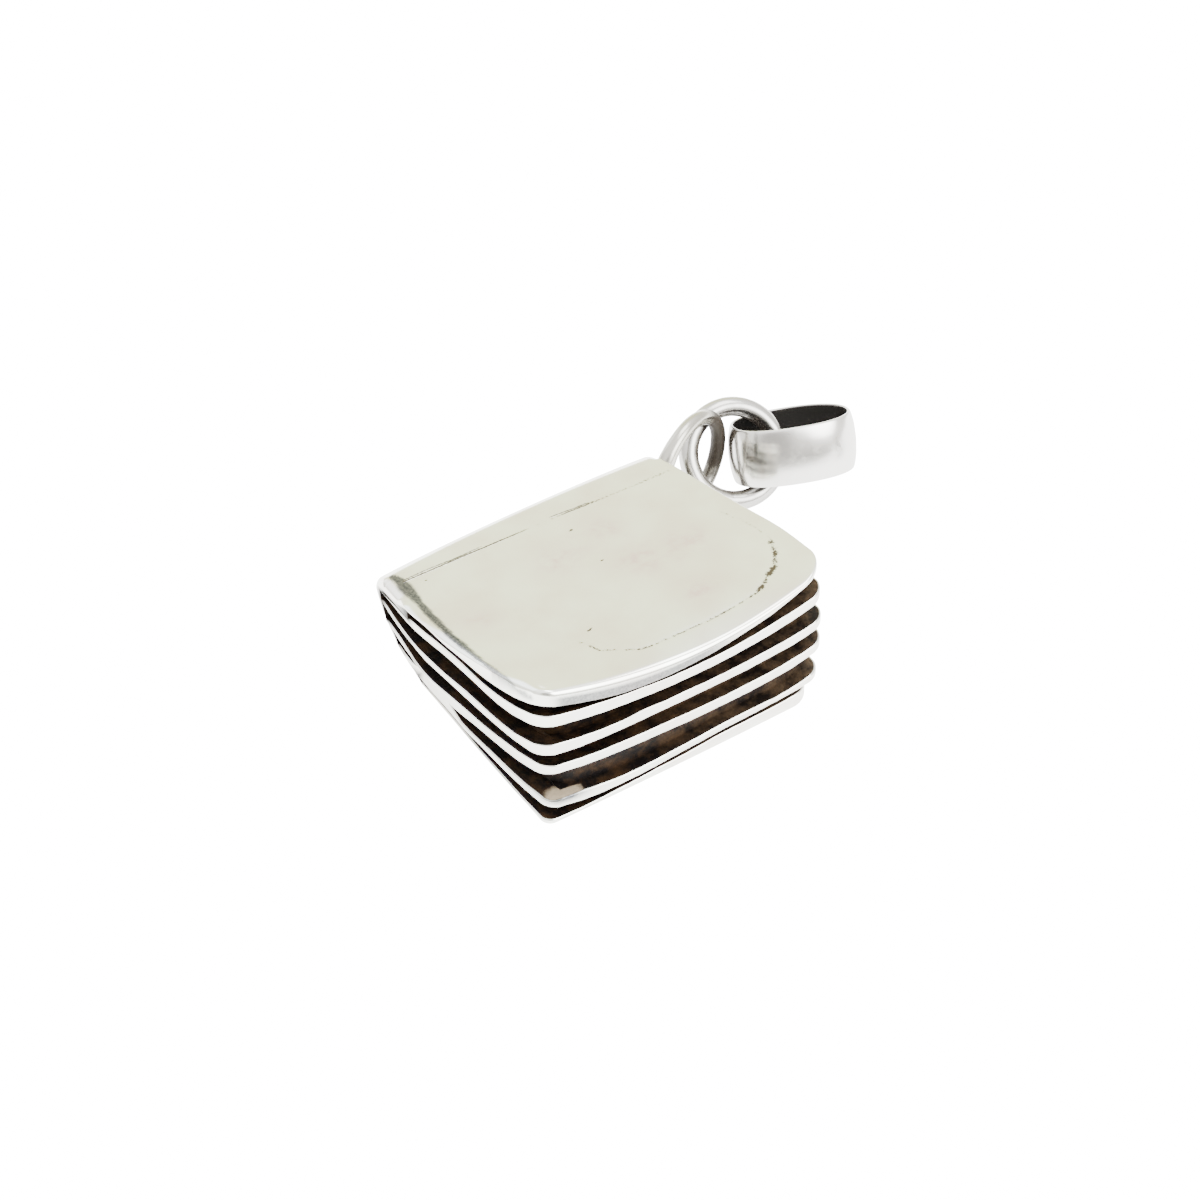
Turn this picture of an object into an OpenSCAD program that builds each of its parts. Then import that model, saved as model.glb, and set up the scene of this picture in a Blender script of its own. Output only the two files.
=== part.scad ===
// Book pendant: a small cast silver book lying on its back cover.
// Millimetres. X runs from the spine to the fore-edge, Y from the tail edge to the head edge,
// Z up. The origin is on the back cover's resting face, midway between the spine and the fore-edge
// and between the tail and the head edge.

/* [Book] */
// Length of the covers from the tail edge to the head edge
book_l = 16.8; // [15:0.1:19]
// Width from the outside of the spine to the middle of the fore-edge
book_w = 16; // [15:0.1:17]
// Height of the front cover's top at the near corner, tail edge and fore-edge
book_h = 9.75; // [9.3:0.05:10.4]
// Height of the front cover's top where it meets the rounded spine
spine_h = 5.4; // [5.1:0.05:5.6]
// How far the fore-edge of the front cover swells outwards
fore_bow = 0.8; // [0.3:0.1:1.1]
// How far the head edge swells outwards
head_bow = 0.2; // [0.1:0.05:0.4]
// How far the tail edge swells outwards
tail_bow = 0.75; // [0.4:0.05:1]
// Depth of the grooves between the leaves at the fore-edge
fore_groove = 0.8; // [0.5:0.1:1.2]
// Depth of the grooves between the leaves at the tail edge
tail_groove = 1; // [0.7:0.1:1.4]
// Depth of the grooves between the leaves at the head edge
head_groove = 0.45; // [0.35:0.05:0.7]
// Polished bevel along the front cover's edge
bevel = 0.3; // [0.15:0.05:0.4]

/* [Loop] */
// Thickness of the soldered loop's wire
loop_wire = 0.8; // [0.7:0.05:0.8]
// Diameter of the loop, measured along the middle of its wire
loop_d = 5.6; // [5.5:0.05:5.7]
// How much the solder thickens the wire at the loop's feet
solder = 0.35; // [0.15:0.05:0.4]

/* [Jump ring] */
// Thickness of the jump ring's wire
ring_wire = 1.05; // [0.9:0.05:1.05]
// Diameter of the jump ring, measured along the middle of its wire
ring_d = 5.05; // [5:0.05:5.1]

/* [Bail] */
// Outside length of the bail's oval
bail_l = 7; // [6.9:0.05:7.1]
// Outside depth of the bail's oval
bail_d = 4.4; // [4.3:0.05:4.5]
// Width of the bail's band
bail_w = 3.15; // [3:0.05:3.2]
// Thickness of the bail's wall at its edges
bail_wall = 0.3; // [0.25:0.05:0.35]
// How far the outside of the band is domed
bail_dome = 0.1; // [0.05:0.05:0.15]

/* [Hidden] */

// One row for each leaf, from the front cover down to the back cover: where it starts past the
// tail edge, how far its head edge flares out towards the fore-edge, the height of its top at the
// near corner and at the far corner, its thickness at the two corners, how far it sags and how
// far it swells out in the middle of the fore-edge, the radius of its two corners, and its share
// of the tail edge's swell. The near corner is at the tail and the far corner at the head.
LEAF_TAIL = 0;
LEAF_FLARE = 1;
TOP_NEAR = 2;
TOP_FAR = 3;
THICK_NEAR = 4;
THICK_FAR = 5;
SAG = 6;
SWELL = 7;
CORNER_NEAR = 8;
CORNER_FAR = 9;
LEAF_BOW = 10;
leaves = [
    // tail, head, top near and far, thick near and far, sag, swell, corner near and far, bow
    [0.00, 0.50, 9.75, 9.40, 1.05, 0.45, 1.10, 1.00, 0.8, 1.8, 1.00],
    [0.02, 0.35, 8.05, 7.62, 0.84, 0.62, 0.54, 0.70, 0.7, 0.9, 1.00],
    [0.08, 0.50, 5.92, 5.71, 0.80, 0.58, 0.18, 0.60, 0.7, 0.9, 1.00],
    [0.30, 0.50, 4.27, 4.03, 0.66, 0.62, 0.28, 0.50, 0.7, 0.9, 0.95],
    [0.42, 0.35, 1.52, 1.78, 0.50, 0.42, 0.12, 0.35, 0.7, 0.9, 0.70],
    [0.22, -0.15, 0.38, 0.85, 0.38, 0.85, 0.05, 0.10, 0.6, 1.3, 0.00]
];

// One row for each groove, from the top one down: how far its root lies from the outside of
// the spine, the heights of its roof and its floor there, how far the roof arches between the
// root and the tip, and the point of the spine's curve that lies beside its roof and its floor.
ROOT_X = 0;
ROOT_ROOF = 1;
ROOT_FLOOR = 2;
ROOF_ARCH = 3;
BESIDE_ROOF = 4;
BESIDE_FLOOR = 5;
grooves = [
    // from spine, roof, floor, arch, point beside the roof, point beside the floor
    [4.4, 5.75, 5.65, 0.00, 0, 1],
    [0.9, 4.25, 3.65, 0.35, 3, 4],
    [0.9, 3.50, 2.15, 0.10, 5, 6],
    [7.4, 2.10, 1.65, 0.00, 8, 8],
    [4.2, 0.75, 0.33, 0.10, 8, 9]
];

// The leaves' faces, with six steps from the tip to the root.
steps = 6;
surfaces = 2 * len(leaves);
arc_steps = 9;
outline_n = surfaces * (steps + 1) + arc_steps - 1;

spine_x = -book_w / 2;
fore_x = book_w / 2;
tail_y = -book_l / 2;
// Where the flat front cover and the flat back cover meet the rounded spine
crease_x = spine_x + 1.45;
belly_x = spine_x + 3.9;
flat_x = spine_x + 6.4;
// Height of the spine's outermost line
spine_mid_h = 3.3;
core_corner = 0.9;
groove_swell = 0.5;
wall_step = 0.04;
// The head edge starts this far short at the spine, and the leaves flare out from there
head_trim = 0.1;

// Stations from the tail edge to the head edge, as distances from the nearer of the two
edge_steps = [0, 0.1, bevel, 0.7];
tail_stations = concat(edge_steps, [tail_groove - wall_step / 2, tail_groove + wall_step / 2,
    tail_groove + 0.25, tail_groove + core_corner]);
head_stations = concat([0, 0.1, bevel], [head_groove - wall_step / 2,
    head_groove + wall_step / 2, head_groove + 0.25, head_groove + core_corner]);
middle_stations = [for (i = [1:5]) 2.2 + i * (book_l - 4) / 6];
stations = concat(tail_stations, middle_stations,
    [for (i = [len(head_stations) - 1:-1:0]) book_l - head_stations[i]]);

function mix(a, b, t) = a + (b - a) * t;
function clamp(x, low, high) = max(low, min(high, x));
function hump(t) = 4 * t * (1 - t);
function ease(t) = let (u = clamp(t, 0, 1)) u * u * (3 - 2 * u);
// How much of a corner of radius r is left at distance d from the edge
function corner_cut(d, r) = d >= r ? 0 : r - sqrt(max(0, r * r - (r - d) * (r - d)));

// The share of the way from the tail edge to the head edge, and the distance to each of them
function share(s) = stations[s] / book_l;
function tail_gap(s) = stations[s];
function head_gap(s) = book_l - stations[s];

// Tip of a leaf at station s
function tip_x(leaf, s) = let (row = leaves[leaf])
    fore_x + row[SWELL] * fore_bow * hump(share(s))
        - max(corner_cut(tail_gap(s), row[CORNER_NEAR]), corner_cut(head_gap(s), row[CORNER_FAR]));

// Where the front cover's slope ends: it runs on through the rounded far corner
function slope_end(s) = fore_x + leaves[0][SWELL] * fore_bow * hump(share(s))
    - corner_cut(tail_gap(s), leaves[0][CORNER_NEAR]);

// Bevel along the edge of the front cover
function edge_drop(d) = d >= bevel ? 0 : bevel - sqrt(bevel * bevel - (bevel - d) * (bevel - d));

// Height of a leaf's top at its tip at station s, before it sags
function top_z(leaf, s) = let (row = leaves[leaf])
    mix(row[TOP_NEAR], row[TOP_FAR], share(s)) * book_h / leaves[0][TOP_NEAR];

// Thickness of a leaf at its tip at station s. The front cover is full near the tail corner and
// thins out in the middle of its fore-edge; the others change evenly.
function thickness(leaf, s) = let (t = share(s))
    mix(leaves[leaf][THICK_NEAR], leaves[leaf][THICK_FAR], leaf == 0 ? ease((t - 0.2) / 0.5) : t);

// Height of a face of a leaf at its tip; face 0 is its top, face 1 its underside
function tip_z(leaf, face, s) = (leaf == len(leaves) - 1 && face == 1) ? 0 :
    top_z(leaf, s) - leaves[leaf][SAG] * hump(share(s)) - face * thickness(leaf, s);

// Floor of a groove at station s: it runs back to the spine where it passes the ends
function floor_x(groove, s) = let (
        back = spine_x + grooves[groove][ROOT_X],
        front = fore_x - fore_groove + groove_swell * fore_bow * hump(share(s)),
        tail_cut = corner_cut(max(0, tail_gap(s) - tail_groove), core_corner),
        head_cut = corner_cut(max(0, head_gap(s) - head_groove), core_corner))
    (tail_gap(s) < tail_groove || head_gap(s) < head_groove) ? back :
    front - max(tail_cut, head_cut);

// The outer curve of the spine, from the front cover round to the back cover
function bezier(p, q, r, u, t) = pow(1 - t, 3) * p + 3 * t * pow(1 - t, 2) * q
    + 3 * t * t * (1 - t) * r + t * t * t * u;
spine_top = [crease_x, spine_h];
spine_mid = [spine_x, spine_mid_h];
function belly_z(x) = x >= flat_x ? 0 :
    spine_mid_h * (1 - sqrt(1 - pow((flat_x - x) / (flat_x - spine_x), 2)));
function spine_point(m) = m <= 5
    ? bezier(spine_top, spine_top - [0.85, 0.26], spine_mid + [0, 1.15], spine_mid, m / 5)
    : let (x = spine_x + (belly_x - spine_x) * pow((m - 5) / (arc_steps - 5), 2.2))
        [x, belly_z(x)];

// Height of the flat front cover at x, with the droop near its fore-edge
function cover_z(x, s) = let (u = clamp((x - crease_x) / (slope_end(s) - crease_x), 0, 1),
        d = min(tail_gap(s), head_gap(s)))
    mix(spine_h, top_z(0, s), u) - leaves[0][SAG] * hump(share(s)) * pow(u, 4) - edge_drop(d);

// Where the tail edge and the head edge lie at x for a given level of the stack
function level_tail(leaf, x) = tail_y + leaves[leaf][LEAF_TAIL]
    - leaves[leaf][LEAF_BOW] * tail_bow * hump(clamp((x - spine_x) / book_w, 0, 1));
function level_head(leaf, x) = let (u = clamp((x - spine_x) / book_w, 0, 1))
    -tail_y - head_trim + leaves[leaf][LEAF_FLARE] * u + head_bow * hump(u);
function place(leaf, p, s) = [p[0], mix(level_tail(leaf, p[0]), level_head(leaf, p[0]), share(s)),
    p[1]];

// Point k of a face, counted from the tip
function face_point(surface, k, s) = let (
        leaf = floor(surface / 2),
        face = surface % 2,
        tip = tip_x(leaf, s),
        t = k / steps)
    surface == 0 ? let (x = k == 0 ? tip : k == 1 ? tip - bevel : mix(tip - bevel, crease_x,
            (k - 1) / (steps - 1)))
        place(0, [x, cover_z(x, s) - (k == 0 ? bevel : 0)], s) :
    surface == surfaces - 1 ? let (x = k < 4 ? mix(tip, flat_x, k / 4)
            : mix(flat_x, belly_x, (k - 4) / (steps - 4)))
        place(leaf, [x, belly_z(x)], s) :
    let (
        groove = face == 1 ? leaf : leaf - 1,
        root = grooves[groove],
        root_x = spine_x + root[ROOT_X],
        root_z = face == 1 ? root[ROOT_ROOF] : root[ROOT_FLOOR],
        x = mix(tip, floor_x(groove, s), t),
        u = (x - root_x) / ((leaf == 0 ? slope_end(s) : tip) - root_x))
    place(leaf, [x, mix(root_z, tip_z(leaf, face, s), u) + face * root[ROOF_ARCH] * hump(u)], s);

// The levels that the spine's curve takes its tail and head from
function spine_level(m) = round(m * (len(leaves) - 1) / arc_steps);

// Outline of the book at station s: the front cover's top, round the spine, along the bottom,
// then in and out of each groove up to the front cover's underside.
function down_and_up(s) = [for (surface = [surfaces - 2:-1:1]) for (k = [0:steps])
    face_point(surface, surface % 2 == 0 ? k : steps - k, s)];
function outline(s) = concat(
    [for (k = [0:steps]) face_point(0, k, s)],
    [for (m = [1:arc_steps - 1]) place(spine_level(m), spine_point(m), s)],
    [for (k = [steps:-1:0]) face_point(surfaces - 1, k, s)],
    down_and_up(s));

// Index of point k of a face within an outline
function at(surface, k) = surface == 0 ? k :
    surface == surfaces - 1 ? steps + arc_steps + steps - k :
    2 * (steps + 1) + arc_steps - 1 + (surfaces - 2 - surface) * (steps + 1)
        + (surface % 2 == 0 ? k : steps - k);
function arc_at(m) = m == 0 ? at(0, steps) : m == arc_steps ? at(surfaces - 1, steps)
    : steps + m;
// Roots of the grooves in order from the top, roof then floor of each, and the point of the
// spine's curve that lies beside each of them
function root_at(i) = at(i + 1, steps);
function beside(i) = grooves[floor(i / 2)][i % 2 == 0 ? BESIDE_ROOF : BESIDE_FLOOR];

function quad(a, b, c, d) = [[a, b, c], [a, c, d]];
function cap(base) = let (
        leaf_quads = [for (leaf = [0:len(leaves) - 1]) for (k = [0:steps - 1])
            quad(at(2 * leaf, k), at(2 * leaf, k + 1), at(2 * leaf + 1, k + 1),
                at(2 * leaf + 1, k))],
        spine_parts = [for (i = [0:surfaces - 4]) concat(
            [for (m = [beside(i):1:beside(i + 1) - 1]) [root_at(i), arc_at(m), arc_at(m + 1)]],
            [[root_at(i), arc_at(beside(i + 1)), root_at(i + 1)]])])
    [for (q = concat(leaf_quads, spine_parts)) for (t = q) [for (i = t) i + base]];

// Where the three rings lie, and how they are turned: tilt from level, then heading
loop_at = [-7.07, 10.6, 3.2];
loop_turn = [0, 88, 22];
ring_at = [-7.3, 13.65, 2.38];
ring_turn = [0, 46.5, -10];
bail_at = [-6.1, 16.65, 2.37];
bail_turn = [0, 26.2, 158.8];
bail_spin = 93.3;
loop_steps = 48;
wire_sides = 12;

module book_body() {
    points = [for (s = [0:len(stations) - 1]) each outline(s)];
    last = (len(stations) - 1) * outline_n;
    sides = [for (s = [0:len(stations) - 2]) for (i = [0:outline_n - 1]) let (
            a = s * outline_n + i,
            b = s * outline_n + (i + 1) % outline_n)
        each quad(a, b, b + outline_n, a + outline_n)];
    tail_cap = [for (t = cap(0)) [t[2], t[1], t[0]]];
    head_cap = cap(last);
    polyhedron(points, concat(sides, tail_cap, head_cap));
}

// A cut across the loop's wire, turn degrees round the loop. The cut at 90 degrees is the
// farthest from the book; the wire thickens towards its soldered side at 270 degrees.
function loop_cut(turn) = let (
        r = (loop_wire + solder * pow(max(0, -sin(turn) * 1.25 - 0.25), 2)) / 2)
    [for (k = [0:wire_sides - 1]) let (
            side = k * 360 / wire_sides,
            out = loop_d / 2 + r * cos(side))
        [out * cos(turn), out * sin(turn), r * sin(side)]];

// The loop's wire, drawn from each cut to the next
module loop() {
    for (i = [0:loop_steps - 1]) hull()
        polyhedron(concat(loop_cut(i * 360 / loop_steps), loop_cut((i + 1) * 360 / loop_steps)),
            [[for (k = [0:wire_sides - 1]) k], [for (k = [wire_sides - 1:-1:0]) wire_sides + k]]);
}

module book() {
    color("gainsboro") union() {
        book_body();
        translate(loop_at) rotate(loop_turn) loop();
    }
}

module jump_ring() {
    color("silver") translate(ring_at) rotate(ring_turn)
        rotate_extrude($fn = 64) translate([ring_d / 2, 0]) circle(d = ring_wire, $fn = 16);
}

// Section of the bail's band: how far each point lies inside the crown of the dome, and its
// height as a share of half the band's width.
band_steps = 6;
band_depth = bail_wall + bail_dome;
band_section = concat(
    [for (i = [0:band_steps]) let (h = -1 + 2 * i / band_steps) [bail_dome * h * h, h]],
    [[band_depth, 1], [band_depth, -1]]);
bail_sides = 40;
// A slightly squared oval, drawn through its inset from the outside
function oval(angle, inset) = let (c = cos(angle), s = sin(angle), fullness = 0.9)
    [(bail_l / 2 - inset) * sign(c) * pow(abs(c), fullness),
     (bail_d / 2 - inset) * sign(s) * pow(abs(s), fullness)];

module bail_band() {
    n = len(band_section);
    points = [for (i = [0:bail_sides - 1]) for (p = band_section)
        let (q = oval(360 * i / bail_sides, p[0])) [q[0], q[1], p[1] * bail_w / 2]];
    faces = [for (i = [0:bail_sides - 1]) for (j = [0:n - 1]) let (
            next = (i + 1) % bail_sides,
            up = (j + 1) % n)
        each quad(i * n + j, i * n + up, next * n + up, next * n + j)];
    polyhedron(points, faces);
}

module bail() {
    color("lightgray") translate(bail_at) rotate(bail_turn) rotate([0, 0, bail_spin])
        bail_band();
}

book();
jump_ring();
bail();
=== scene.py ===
"""A sterling silver book pendant lying on its back cover, with its loop, jump ring and bail.

Lengths in this script are millimetres until MM turns them into the frame's metres. X runs from the
spine to the fore-edge, Y from the tail edge to the head edge, Z up. On the book, s is the distance
from the tail edge along the spine. Leaves count down from the front cover, 0, to the back cover, 5.
"""
import math

import bmesh
import bpy
import numpy as np
from mathutils import Matrix, Vector


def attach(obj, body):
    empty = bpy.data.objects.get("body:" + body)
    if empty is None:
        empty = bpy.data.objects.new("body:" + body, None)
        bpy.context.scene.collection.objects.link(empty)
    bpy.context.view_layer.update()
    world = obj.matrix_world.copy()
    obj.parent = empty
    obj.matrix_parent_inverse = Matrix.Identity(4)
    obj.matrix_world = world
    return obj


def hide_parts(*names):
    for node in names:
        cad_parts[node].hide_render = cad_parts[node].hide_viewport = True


MM = 0.001

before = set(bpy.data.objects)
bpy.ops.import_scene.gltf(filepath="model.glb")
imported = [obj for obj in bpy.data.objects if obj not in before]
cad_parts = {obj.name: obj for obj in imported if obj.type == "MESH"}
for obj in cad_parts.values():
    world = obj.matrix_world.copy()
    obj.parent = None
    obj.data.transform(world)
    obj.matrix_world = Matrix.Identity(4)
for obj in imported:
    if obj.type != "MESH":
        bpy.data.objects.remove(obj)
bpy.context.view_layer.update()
bpy.ops.object.select_all(action="DESELECT")

# ---------------------------------------------------------------- camera
# Where the lens stands and how it is turned, fitted to the view in the photograph
LENS_AT = Vector((135.44, -89.015, 166.983)) * MM
LENS_RIGHT = Vector((0.5505, 0.8348, 0)).normalized()
LENS_FORWARD = Vector((-0.5904, 0.3892, -0.7071)).normalized()


def set_camera():
    up = LENS_RIGHT.cross(LENS_FORWARD)
    turn = Matrix((LENS_RIGHT, up, -LENS_FORWARD)).transposed()
    camera = bpy.data.objects.new("camera", bpy.data.cameras.new("camera"))
    bpy.context.collection.objects.link(camera)
    camera.data.lens = 135
    camera.data.sensor_width = 36
    camera.data.clip_start = 0.01
    camera.data.clip_end = 5
    camera.matrix_world = Matrix.Translation(LENS_AT) @ turn.to_4x4()
    bpy.context.scene.camera = camera


set_camera()

# ---------------------------------------------------------------- the book's measures
SPINE_X, FORE_X, TAIL_Y = -8.0, 8.0, -8.4
BOOK_L, BOOK_W = 16.8, 16.0
# Height at the crease beside the spine, and where the spine reaches furthest out
SPINE_H, SPINE_MID_H = 5.4, 3.3
# The crease, the end of the spine's curve underneath, and where the underside starts to lie flat
CREASE_X, BELLY_X, FLAT_X = -6.55, -4.1, -1.6
# How far the edges bow outwards, and a low swelling of the front cover's head edge
FORE_BOW, HEAD_BOW, TAIL_BOW = 0.8, 0.2, 0.75
HEAD_SWELL, HEAD_SWELL_X, HEAD_SWELL_REACH = 0.17, 3.4, 2.4
# How deep the grooves are at each edge, and the shape of the block of pages behind them
FORE_GROOVE, TAIL_GROOVE, HEAD_GROOVE = 0.8, 1.0, 0.45
CORE_CORNER, GROOVE_SWELL, HEAD_TRIM = 0.9, 0.5, 0.1
# Radius of the leaves' edges and of the front cover's, and how far the cover's falls at the tail edge
LEAF_EDGE, COVER_EDGE, TAIL_EDGE, TAIL_DROP = 0.11, 0.42, 0.95, 0.45

# One row for each leaf. Near is the tail edge and far the head edge; heights are at the fore-edge
TAIL, FLARE, TOP_NEAR, TOP_FAR, THICK_NEAR, THICK_FAR, SAG, SWELL, CORNER_NEAR, CORNER_FAR, BOW = range(11)
LEAVES = [
    [0.00, 0.50, 9.75, 9.40, 1.05, 0.45, 1.10, 1.00, 0.8, 1.8, 1.00],
    [0.02, 0.35, 8.05, 7.62, 0.84, 0.62, 0.54, 0.70, 0.7, 0.9, 1.00],
    [0.08, 0.50, 5.92, 5.71, 0.80, 0.58, 0.18, 0.60, 0.7, 0.9, 1.00],
    [0.30, 0.50, 4.27, 4.03, 0.66, 0.62, 0.28, 0.50, 0.7, 0.9, 0.95],
    [0.42, 0.35, 1.52, 1.78, 0.50, 0.42, 0.12, 0.35, 0.7, 0.9, 0.70],
    [0.22, -0.15, 0.38, 0.85, 0.38, 0.85, 0.05, 0.10, 0.6, 1.3, 0.00],
]
# One row for each groove: how far its root is from the spine, and its roof's and floor's height there
ROOT, ROOF, FLOOR = range(3)
GROOVES = [
    [4.4, 5.75, 5.65],
    [0.9, 4.25, 3.65],
    [0.9, 3.50, 2.15],
    [1.8, 2.05, 1.40],
    [4.2, 0.75, 0.33],
]
# Faces count down too: 0 is the front cover's top, 1 its underside, 2 the first leaf's top, and so
# on to 10, the back cover's top. The leaves are a little wavy: this is how far each face lifts along
# the tail edge, in hundredths of a millimetre, at these distances from the middle
LIFT_X = [-7, -6, -5, -4, -3, -2, -1, 0, 1, 2, 3, 4, 5, 6, 7, 8]
TAIL_LIFT = {
    1: [0, 8, 14, 16, 24, 33, 26, 14, 8, 0, -19, -33, -39, -40, -28, 0],
    2: [0, -4, -8, -10, -9, -2, 11, 16, 14, 3, -15, -27, -36, -36, -24, 0],
    3: [5, 20, 19, 12, 13, 21, 30, 37, 34, 25, 10, -12, -30, -36, -26, 0],
    4: [6, -6, -17, -27, -31, -23, -17, -14, -6, -2, -11, -22, -32, -38, -26, 0],
    5: [1, -3, -8, -12, -19, -23, -13, -4, 0, -2, -6, -12, -20, -26, -24, 0],
    6: [0, -1, -10, -38, -54, -54, -42, -30, -24, -22, -25, -24, -22, -24, -16, 0],
    7: [0, -4, -15, -23, -34, -42, -52, -57, -48, -36, -33, -35, -38, -38, -28, 0],
    8: [0, -30, -42, -13, 62, 60, 47, -24, -27, -16, -10, -11, -11, -7, 8, 0],
    9: [0, 0, 0, 1, 6, 11, 17, 13, 2, 10, 9, 5, 1, 0, 3, 7],
    10: [0, 0, 0, -10, -12, -12, -14, -20, -24, -27, -26, -24, -24, -20, -12, 0],
}
# The same along the fore-edge, at these distances from the tail edge
LIFT_S = [0, 0.8, 2.0, 3.2, 4.4, 5.6, 6.8, 8.0, 9.2, 10.4, 11.6, 12.8, 13.8, 14.6, 15.3, 15.9, 16.8]
FORE_LIFT = {
    1: [0, 1, 1, 2, 1, 2, 0, -3, -6, -3, 0, 3, 8, 13, 15, 8, 0],
    2: [0, -5, -8, -3, -3, -2, -4, -4, -3, -3, -2, 1, 3, -1, -3, -1, 0],
    3: [0, -4, -5, -4, 0, 1, 2, 3, 2, 2, 1, -2, -2, -3, -4, -1, 0],
    4: [0, -8, -16, -20, -14, 2, -2, 3, -2, -3, -4, -6, -8, -8, -9, -7, -5],
    5: [0, -8, -13, -10, -3, 3, 7, 8, 6, 3, -3, -6, -9, -13, -11, -7, -5],
    6: [0, -3, -6, -8, -2, 0, 3, 2, 0, -5, -3, -10, -12, -8, -9, -2, 0],
    7: [0, 0, -5, -6, -3, 0, 1, -1, -2, -4, -7, -10, -12, -11, -4, -1, 0],
    8: [0, 9, 5, -8, -18, -14, -8, -1, 5, 10, 8, 2, -9, -8, 0, 6, 5],
    9: [0, -7, -25, -29, -25, -16, -8, 1, 7, 11, 9, 5, 1, -1, -1, -1, 0],
    10: [0, -10, -17, -16, -14, -10, -4, -4, 2, 10, 10, 8, 4, 4, 8, 8, 0],
}

# Lines on the front cover, as x and y from the middle of the book
CREASE_LINE = [(-5.91, -7.83), (-5.84, -5.65), (-5.75, -3.29), (-5.65, -0.92), (-5.55, 1.48), (-5.37, 3.83),
               (-5.20, 6.21), (-5.14, 7.93)]
SCUFFED_ARC = [(4.26, 7.83), (5.05, 7.52), (6.01, 6.85), (6.35, 6.18), (6.69, 5.75), (7.05, 5.02)]
WORN_LINE = [(7.05, 5.02), (7.14, 3.99), (7.23, 2.36), (7.21, 1.47), (7.17, 0.01), (7.17, -1.19),
             (7.08, -2.02), (6.05, -3.70), (4.62, -4.23)]
HEAD_LINE = [(0.06, 7.61), (1.41, 7.92), (2.56, 8.04), (4.04, 7.99)]
TAIL_STRIP = [(-6.75, -7.95), (-6.2, -7.9), (-5.66, -7.98), (-4.24, -8.17), (-2.23, -8.48), (0.23, -8.72),
              (3.09, -8.80), (6.04, -8.78), (7.4, -8.60)]
# Small pits, as x, y and size, and pinkish clouds in the polish, as x, y and how far each reaches
PITS = [(4.33, -3.22, 0.10), (-3.92, 1.09, 0.10), (-0.41, 0.69, 0.08), (4.25, -3.05, 0.07),
        (-5.2, -6.9, 0.08)]
CLOUDS = [(-2.86, 2.17, 1.3), (-1.91, -0.88, 1.5), (0.92, 2.11, 1.6), (1.15, 5.01, 1.5), (-0.04, -6.87, 0.9),
          (5.06, 2.94, 1.2)]
MARK_DEPTH = 0.02


def mix(a, b, t):
    return a + (b - a) * t


def hump(t):
    """Nothing at 0 and 1, and 1 half way."""
    return 4 * t * (1 - t)


def smooth(low, high, x):
    """0 below low and 1 above high, with a soft slope between."""
    t = np.clip((x - low) / (high - low), 0, 1)
    return t * t * (3 - 2 * t)


def corner_cut(d, r):
    """How much a rounding of radius r takes off a corner at distance d from it."""
    return np.where(d >= r, 0, r - np.sqrt(np.maximum(0, r * r - (r - d) ** 2)))


def drop(gap, radius):
    """How far a rounded edge falls at this distance from it."""
    return np.where(gap < radius, radius - np.sqrt(np.maximum(0, radius ** 2 - (radius - gap) ** 2)), 0)


def round_steps(radius, count):
    """Distances from an edge at which a rounding of this radius is cut evenly."""
    return radius * (1 - np.cos(np.linspace(0, math.pi / 2, count)))


RIM = np.concatenate([round_steps(LEAF_EDGE, 6), [0.15, 0.2, 0.26, 0.33, 0.42]])
COVER_RIM = np.concatenate([round_steps(COVER_EDGE, 10), [0.5, 0.58]])


def stations():
    """Distances from the tail edge at which the book is cut across."""
    middle = np.arange(0.5, BOOK_L - 0.45, 0.1)
    walls = [TAIL_GROOVE - 0.02, TAIL_GROOVE + 0.02,
             BOOK_L - HEAD_GROOVE - 0.02, BOOK_L - HEAD_GROOVE + 0.02]
    middle = middle[np.min(np.abs(middle[:, None] - np.array(walls)[None, :]), axis=1) > 0.03]
    return np.sort(np.concatenate([RIM, middle, walls, BOOK_L - RIM]))


def level_y(leaf, x, share):
    """Where a leaf's point lies along Y, from its tail edge at share 0 to its head edge at 1."""
    row = LEAVES[leaf]
    u = np.clip((x - SPINE_X) / BOOK_W, 0, 1)
    tail = TAIL_Y + row[TAIL] - row[BOW] * TAIL_BOW * hump(u)
    head = -TAIL_Y - HEAD_TRIM + row[FLARE] * u + HEAD_BOW * hump(u)
    if leaf == 0:
        head = head + HEAD_SWELL * np.exp(-((x - HEAD_SWELL_X) / HEAD_SWELL_REACH) ** 2)
    return mix(tail, head, share)


def tip_line(leaf, s):
    """The fore-edge of a leaf before its corners are rounded."""
    return FORE_X + LEAVES[leaf][SWELL] * FORE_BOW * hump(s / BOOK_L)


def tip_x(leaf, s):
    """The fore-edge of a leaf with its corners rounded."""
    row = LEAVES[leaf]
    cut = np.maximum(corner_cut(s, row[CORNER_NEAR]), corner_cut(BOOK_L - s, row[CORNER_FAR]))
    return tip_line(leaf, s) - cut


def slope_end(s):
    """Where the front cover's slope ends: it runs on through the rounded far corner."""
    return tip_line(0, s) - corner_cut(s, LEAVES[0][CORNER_NEAR])


def edge_gap(leaf, x, s):
    """Distance in plan from a point of a leaf to the leaf's outline."""
    fore = tip_line(leaf, s) - x
    gap = np.minimum(np.minimum(s, BOOK_L - s), np.maximum(fore, 0))
    for radius, end in ((LEAVES[leaf][CORNER_NEAR], s), (LEAVES[leaf][CORNER_FAR], BOOK_L - s)):
        inside = (fore < radius) & (end < radius)
        round_gap = radius - np.hypot(radius - fore, radius - end)
        gap = np.where(inside, np.maximum(round_gap, 0), gap)
    return gap


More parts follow.
